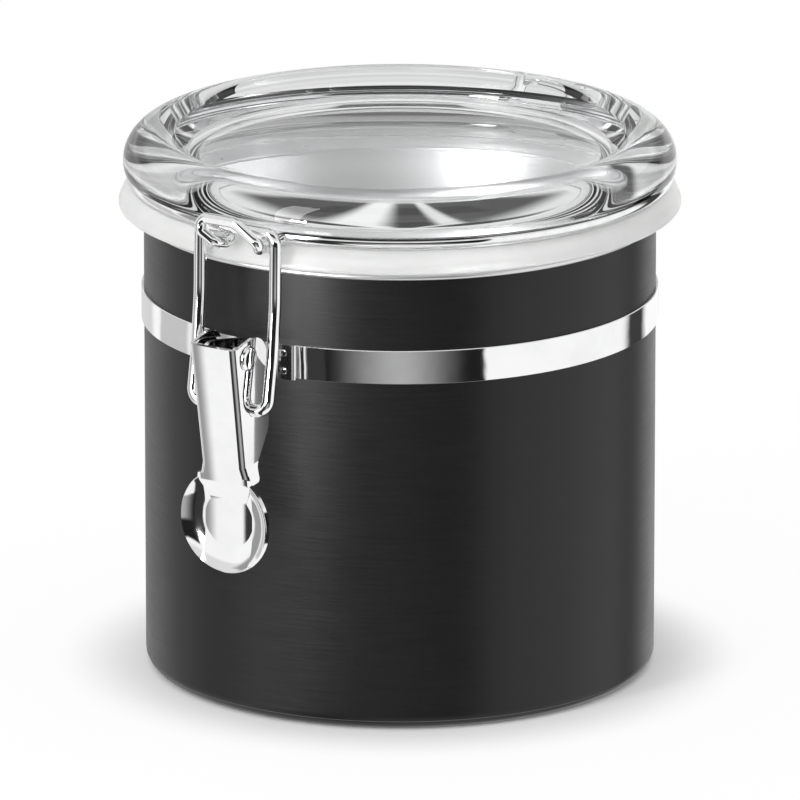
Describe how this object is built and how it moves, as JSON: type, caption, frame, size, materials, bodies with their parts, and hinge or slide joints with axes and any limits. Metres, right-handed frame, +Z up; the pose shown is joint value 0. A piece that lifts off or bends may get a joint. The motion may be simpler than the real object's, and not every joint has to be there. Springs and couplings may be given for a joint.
{
  "type": "clamp lid canister",
  "caption": "Round coated-steel canister with a clear rolled-bead lid, hinged behind and held shut in front by a lever clamp with a wire bail.",
  "frame": {"origin": "centre of the can's base, on the surface it stands on", "axes": "+Z up along the can's axis, -Y towards the lever clamp, +Y towards the hinge, +X to the right of someone who faces the clamp"},
  "size_m": [0.1292, 0.1469, 0.127],
  "materials": {
    "coated_steel": "matt black coat with a fine grain, bare polished steel inside and on the curled mouth",
    "polished_band": "mirror-polished stainless strip",
    "polished_sheet": "polished stamped stainless sheet",
    "rivet_steel": "polished rivet with domed heads",
    "polished_lever": "polished stamped stainless sheet",
    "bright_wire": "bright drawn stainless wire",
    "clear_acrylic": "thick clear moulded acrylic, polished all over",
    "silicone": "milky translucent silicone, satin"
  },
  "bodies": {
    "canister": {"can": "coated_steel", "clamp_band": "polished_band", "front_bracket": "polished_sheet", "lever_pin": "rivet_steel", "rear_bracket": "polished_sheet"},
    "lid": {"lid": "clear_acrylic", "gasket": "silicone", "lid_wire": "bright_wire"},
    "lever": {"lever": "polished_lever"},
    "bail": {"bail": "bright_wire"}
  },
  "joints": [
    {"name": "lid_open", "type": "hinge", "parent": "canister", "child": "lid", "pos_m": [0, 0.0674, 0.1102], "axis": [-1, 0, 0], "range_deg": [0, 105]},
    {"name": "lever_open", "type": "hinge", "parent": "canister", "child": "lever", "pos_m": [0, -0.072, 0.0895], "axis": [-1, 0, 0], "range_deg": [0, 85]},
    {"name": "bail_swing", "type": "hinge", "parent": "lever", "child": "bail", "pos_m": [0, -0.0697, 0.0768], "axis": [-1, 0, 0], "range_deg": [-61.2, 0]}
  ],
  "couplings": [
    {"joint": "bail_swing", "follows": "lever_open", "ratio": -0.72}
  ]
}
